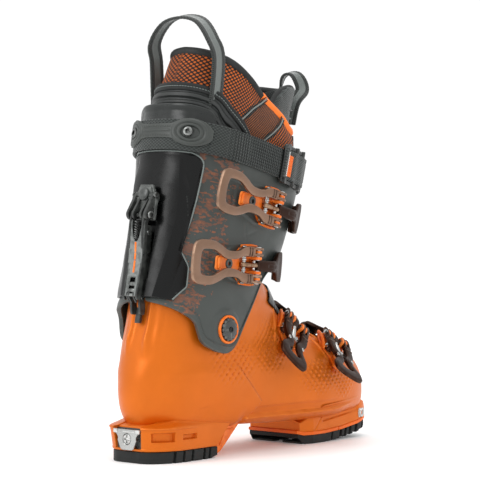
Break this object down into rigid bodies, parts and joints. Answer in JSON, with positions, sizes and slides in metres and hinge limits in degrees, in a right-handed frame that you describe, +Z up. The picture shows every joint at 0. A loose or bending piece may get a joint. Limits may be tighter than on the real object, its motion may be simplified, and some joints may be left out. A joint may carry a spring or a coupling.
{
  "type": "alpine touring boot",
  "caption": "Right ski touring boot with hinged cuff, walk lever, micro-adjust buckles, power strap and liner with pull loops.",
  "frame": {"origin": "on the ground under the middle of the boot, halfway along and across its bounding box", "axes": "+X to the toe, +Y to the inner side of the foot, +Z up"},
  "size_m": [0.305, 0.1325, 0.3855],
  "materials": {
    "orange_shell": "satin orange, fine grain",
    "bright_orange": "bright orange, satin",
    "cuff_grey": "greenish dark grey, matt",
    "black_panel": "black, semi-gloss",
    "spoiler_grey": "grey, semi-gloss",
    "rubber": "black rubber, matt",
    "webbing": "woven webbing",
    "liner_mesh": "black knit over orange dots",
    "liner_black": "black woven lining",
    "foam": "dark foam, matt",
    "bronze": "bronze anodised, satin",
    "dark_brown": "dark brown, satin",
    "steel": "bright steel",
    "black_metal": "black, satin"
  },
  "bodies": {
    "clog": {"ankle_pivot_lateral": "black_metal", "ankle_pivot_medial": "black_metal", "boot_board": "foam", "footbed": "foam", "heel_insert_screw": "steel", "heel_tech_insert": "steel", "heel_tread": "rubber", "heel_wedge": "bright_orange", "instep_buckle_base": "bright_orange", "instep_buckle_catch": "black_metal", "instep_cover": "black_panel", "liner_foot": "liner_black", "lower_shell": "orange_shell", "toe_buckle_base": "bright_orange", "toe_buckle_catch": "black_metal", "toe_sole_plate": "bright_orange", "toe_tech_insert_lateral": "steel", "toe_tech_insert_medial": "steel", "toe_tread": "rubber", "walk_lock_anchor": "steel"},
    "cuff": {"cuff_shell": "cuff_grey", "liner_cuff": "liner_mesh", "liner_tongue": "liner_black", "lower_buckle_base": "bright_orange", "lower_buckle_catch": "black_metal", "power_strap": "webbing", "rear_panel": "black_panel", "rear_pull_loop": "webbing", "rear_spoiler": "spoiler_grey", "strap_frame": "black_metal", "strap_tab": "webbing", "strap_yoke": "rubber", "tongue_pull_loop": "webbing", "upper_buckle_base": "bright_orange", "upper_buckle_catch": "black_metal", "walk_bar": "black_metal", "walk_bracket": "black_metal", "walk_bracket_pin": "steel", "walk_lever_pin": "steel", "walk_spring": "steel", "yoke_screw_lateral": "steel", "yoke_screw_medial": "steel"},
    "upper_lever": {"upper_buckle_lever": "bronze"},
    "upper_bail": {"upper_buckle_rod": "steel", "upper_buckle_hook": "dark_brown"},
    "lower_lever": {"lower_buckle_lever": "bronze"},
    "lower_bail": {"lower_buckle_rod": "steel", "lower_buckle_hook": "dark_brown"},
    "instep_lever": {"instep_buckle_lever": "dark_brown"},
    "instep_bail": {"instep_buckle_rod": "steel", "instep_buckle_hook": "dark_brown"},
    "toe_lever": {"toe_buckle_lever": "dark_brown"},
    "toe_bail": {"toe_buckle_rod": "steel", "toe_buckle_hook": "dark_brown"},
    "walk_lever": {"walk_lever": "steel"}
  },
  "joints": [
    {"name": "cuff_flex", "type": "hinge", "parent": "clog", "child": "cuff", "pos_m": [-0.08, 0.008, 0.112], "axis": [0, 1, 0], "range_deg": [-20, 10]},
    {"name": "walk_lever_turn", "type": "hinge", "parent": "cuff", "child": "walk_lever", "pos_m": [-0.13475, 0.008, 0.21016], "axis": [0, 1, 0], "range_deg": [0, 100]},
    {"name": "upper_lever_turn", "type": "hinge", "parent": "cuff", "child": "upper_lever", "pos_m": [-0.02476, -0.05535, 0.21921], "axis": [0.2126, -0.063, 0.9751], "range_deg": [0, 140]},
    {"name": "upper_bail_turn", "type": "hinge", "parent": "upper_lever", "child": "upper_bail", "pos_m": [-0.03953, -0.05294, 0.22259], "axis": [0.2126, -0.063, 0.9751], "range_deg": [-170, 0]},
    {"name": "lower_lever_turn", "type": "hinge", "parent": "cuff", "child": "lower_lever", "pos_m": [-0.0523, -0.05209, 0.1603], "axis": [0.0668, -0.0482, 0.9966], "range_deg": [0, 140]},
    {"name": "lower_bail_turn", "type": "hinge", "parent": "lower_lever", "child": "lower_bail", "pos_m": [-0.06733, -0.04925, 0.16144], "axis": [0.0668, -0.0482, 0.9966], "range_deg": [-170, 0]},
    {"name": "instep_lever_turn", "type": "hinge", "parent": "clog", "child": "instep_lever", "pos_m": [0.02788, -0.03268, 0.11224], "axis": [-0.7347, 0.1684, 0.6571], "range_deg": [0, 115]},
    {"name": "instep_bail_turn", "type": "hinge", "parent": "instep_lever", "child": "instep_bail", "pos_m": [0.01748, -0.03601, 0.10147], "axis": [-0.7347, 0.1684, 0.6571], "range_deg": [-140, 0]},
    {"name": "toe_lever_turn", "type": "hinge", "parent": "clog", "child": "toe_lever", "pos_m": [0.09147, -0.02895, 0.09481], "axis": [-0.8775, 0.1469, 0.4566], "range_deg": [0, 115]},
    {"name": "toe_bail_turn", "type": "hinge", "parent": "toe_lever", "child": "toe_bail", "pos_m": [0.08425, -0.03581, 0.08314], "axis": [-0.8775, 0.1469, 0.4566], "range_deg": [-140, 0]}
  ],
  "couplings": [
    {"joint": "upper_bail_turn", "follows": "upper_lever_turn", "ratio": -1.2},
    {"joint": "lower_bail_turn", "follows": "lower_lever_turn", "ratio": -1.2},
    {"joint": "instep_bail_turn", "follows": "instep_lever_turn", "ratio": -1.2},
    {"joint": "toe_bail_turn", "follows": "toe_lever_turn", "ratio": -1.2}
  ]
}
